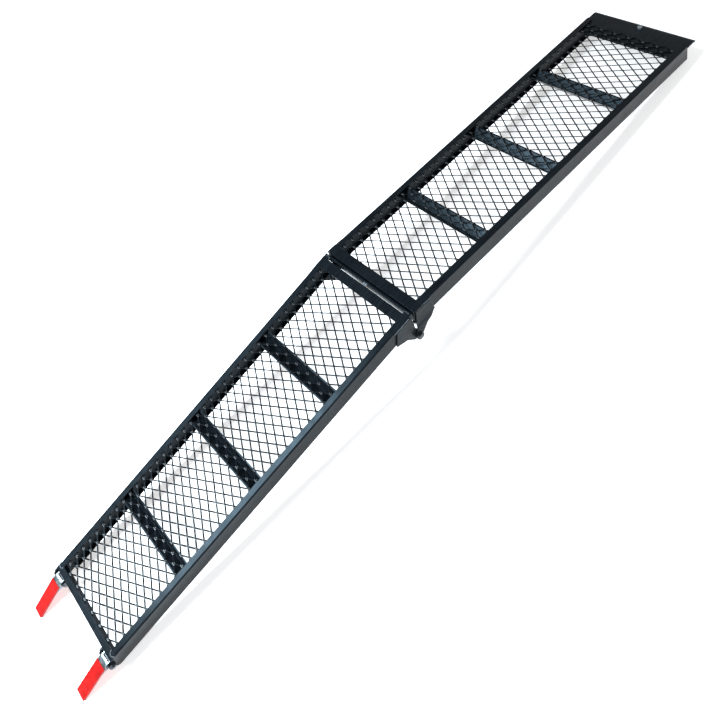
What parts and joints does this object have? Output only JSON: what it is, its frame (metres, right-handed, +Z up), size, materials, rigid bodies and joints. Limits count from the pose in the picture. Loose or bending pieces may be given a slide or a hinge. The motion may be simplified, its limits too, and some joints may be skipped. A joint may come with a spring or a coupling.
{
  "type": "folding arched ramp",
  "caption": "Folding arched steel ramp with an expanded metal deck, channel side rails, a solid end plate and hinged coated fingers at the other end.",
  "frame": {"origin": "middle of the ramp's footprint at floor level, with the ramp standing as an arch", "axes": "+X from the finger end to the plate end, +Y across the ramp to its left side, +Z up"},
  "size_m": [2.3948, 0.3378, 0.1731],
  "materials": {
    "frame_paint": "satin black powder coat with a slate-blue sheen",
    "deck_mesh": "satin black powder coat",
    "finger_steel": "bare or plated steel",
    "grip_coating": "dipped red coating, semi-gloss",
    "black_hardware": "black",
    "zinc_hardware": "zinc plated, a guess from one grey spot"
  },
  "bodies": {
    "finger_section": {"finger_bolt_left": "black_hardware", "finger_bolt_right": "black_hardware", "finger_lug_left": "frame_paint", "finger_lug_right": "frame_paint", "finger_nut_left": "black_hardware", "finger_nut_right": "black_hardware", "finger_section_end_bar": "frame_paint", "finger_section_gusset_left": "frame_paint", "finger_section_gusset_right": "frame_paint", "finger_section_hinge_bar": "frame_paint", "finger_section_mesh": "deck_mesh", "finger_section_rail_left": "frame_paint", "finger_section_rail_right": "frame_paint", "finger_section_rung_1": "frame_paint", "finger_section_rung_2": "frame_paint", "finger_section_rung_3": "frame_paint", "hinge_bolt_left": "black_hardware", "hinge_bolt_right": "black_hardware", "hinge_nut_left": "black_hardware", "hinge_nut_right": "black_hardware", "hinge_stop_bar": "frame_paint"},
    "plate_section": {"end_plate": "frame_paint", "end_plate_bolt": "zinc_hardware", "end_plate_nut": "zinc_hardware", "plate_section_end_bar": "frame_paint", "plate_section_gusset_left": "frame_paint", "plate_section_gusset_right": "frame_paint", "plate_section_hinge_bar": "frame_paint", "plate_section_mesh": "deck_mesh", "plate_section_rail_left": "frame_paint", "plate_section_rail_right": "frame_paint", "plate_section_rung_1": "frame_paint", "plate_section_rung_2": "frame_paint", "plate_section_rung_3": "frame_paint"},
    "finger_left": {"finger_grip_left": "grip_coating", "finger_left": "finger_steel"},
    "finger_right": {"finger_grip_right": "grip_coating", "finger_right": "finger_steel"}
  },
  "joints": [
    {"name": "fold", "type": "hinge", "parent": "finger_section", "child": "plate_section", "pos_m": [0.05604, 0, 0.06964], "axis": [0, 1, 0], "range_deg": [0, 167.5]},
    {"name": "finger_left_swing", "type": "hinge", "parent": "finger_section", "child": "finger_left", "pos_m": [-1.06525, 0.1309, 0.03986], "axis": [0, 1, 0], "range_deg": [-100, 110]},
    {"name": "finger_right_swing", "type": "hinge", "parent": "finger_section", "child": "finger_right", "pos_m": [-1.06525, -0.1309, 0.03986], "axis": [0, 1, 0], "range_deg": [-100, 110]}
  ]
}
